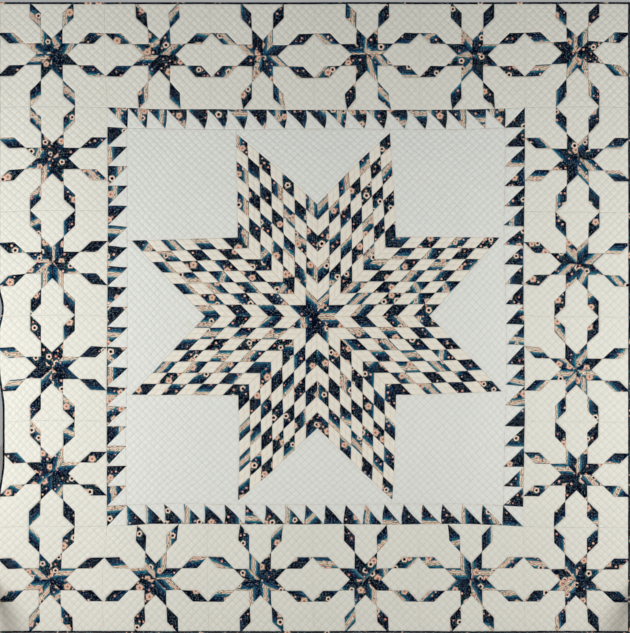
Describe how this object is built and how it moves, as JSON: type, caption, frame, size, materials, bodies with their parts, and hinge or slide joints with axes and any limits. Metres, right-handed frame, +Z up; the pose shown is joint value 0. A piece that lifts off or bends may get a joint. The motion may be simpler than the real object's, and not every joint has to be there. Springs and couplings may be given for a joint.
{
  "type": "quilt on rack",
  "caption": "Square pieced quilt with a large eight-pointed star in a sawtooth frame and a border of small stars, hung by a sleeve on a height-adjustable wooden floor rack.",
  "frame": {"origin": "on the floor, midway between the two posts and under the pole's axis", "axes": "+X to the right of someone facing the quilt, +Y away from them, +Z up; the quilt's face looks along -Y"},
  "size_m": [2.9634, 0.82, 2.6821],
  "materials": {
    "white_cotton": "off-white plain-weave cotton, closely quilted, matte",
    "printed_cotton": "dark blue printed cotton with speckles, roses and stripes, faint glaze",
    "wadding": "thin cotton wadding, hidden",
    "muslin": "unbleached cotton, matte",
    "oak": "satin",
    "pale_wood": "satin",
    "dark_wood": "satin",
    "brass": "satin",
    "felt": "matte"
  },
  "bodies": {
    "rack": {"left_foot": "oak", "left_front_glide": "felt", "left_rear_glide": "felt", "left_inner_cheek": "oak", "left_outer_cheek": "oak", "left_front_brace": "oak", "left_rear_brace": "oak", "left_wedge": "dark_wood", "left_lower_bolt": "brass", "left_upper_bolt": "brass", "right_foot": "oak", "right_front_glide": "felt", "right_rear_glide": "felt", "right_inner_cheek": "oak", "right_outer_cheek": "oak", "right_front_brace": "oak", "right_rear_brace": "oak", "right_wedge": "dark_wood", "right_lower_bolt": "brass", "right_upper_bolt": "brass", "stretcher": "oak"},
    "masts": {"left_mast": "oak", "left_cradle": "dark_wood", "right_mast": "oak", "right_cradle": "dark_wood"},
    "pole": {"pole": "pale_wood", "left_finial": "dark_wood", "right_finial": "dark_wood"},
    "quilt": {"star_point_1": "printed_cotton", "star_point_2": "printed_cotton", "star_point_3": "printed_cotton", "star_point_4": "printed_cotton", "star_point_5": "printed_cotton", "star_point_6": "printed_cotton", "star_point_7": "printed_cotton", "star_point_8": "printed_cotton", "corner_square_upper_right": "white_cotton", "corner_square_lower_right": "white_cotton", "corner_square_lower_left": "white_cotton", "corner_square_upper_left": "white_cotton", "side_triangle_top": "white_cotton", "side_triangle_right": "white_cotton", "side_triangle_bottom": "white_cotton", "side_triangle_left": "white_cotton", "sawtooth_border_top": "white_cotton", "sawtooth_border_right": "white_cotton", "sawtooth_border_bottom": "white_cotton", "sawtooth_border_left": "white_cotton", "star_border_top": "white_cotton", "star_border_right": "white_cotton", "star_border_bottom": "white_cotton", "star_border_left": "white_cotton", "batting": "wadding", "backing": "muslin", "binding": "printed_cotton", "hanging_sleeve": "muslin"},
    "left_lower_knob": {"left_lower_knob": "dark_wood"},
    "left_upper_knob": {"left_upper_knob": "dark_wood"},
    "right_lower_knob": {"right_lower_knob": "dark_wood"},
    "right_upper_knob": {"right_upper_knob": "dark_wood"}
  },
  "joints": [
    {"name": "mast_raise", "type": "slide", "parent": "rack", "child": "masts", "axis": [0, 0, 1], "range_m": [0, 0.3]},
    {"name": "pole_lift", "type": "slide", "parent": "masts", "child": "pole", "axis": [0, 0, 1], "range_m": [0, 0.06]},
    {"name": "quilt_swing", "type": "hinge", "parent": "pole", "child": "quilt", "pos_m": [0, 0, 2.63712], "axis": [-1, 0, 0], "range_deg": [0, 35]},
    {"name": "left_lower_knob_turn", "type": "hinge", "parent": "rack", "child": "left_lower_knob", "pos_m": [-1.36856, 0, 1.2], "axis": [-1, 0, 0], "continuous": true},
    {"name": "left_upper_knob_turn", "type": "hinge", "parent": "rack", "child": "left_upper_knob", "pos_m": [-1.36856, 0, 1.6], "axis": [-1, 0, 0], "continuous": true},
    {"name": "right_lower_knob_turn", "type": "hinge", "parent": "rack", "child": "right_lower_knob", "pos_m": [1.36856, 0, 1.2], "axis": [1, 0, 0], "continuous": true},
    {"name": "right_upper_knob_turn", "type": "hinge", "parent": "rack", "child": "right_upper_knob", "pos_m": [1.36856, 0, 1.6], "axis": [1, 0, 0], "continuous": true}
  ]
}
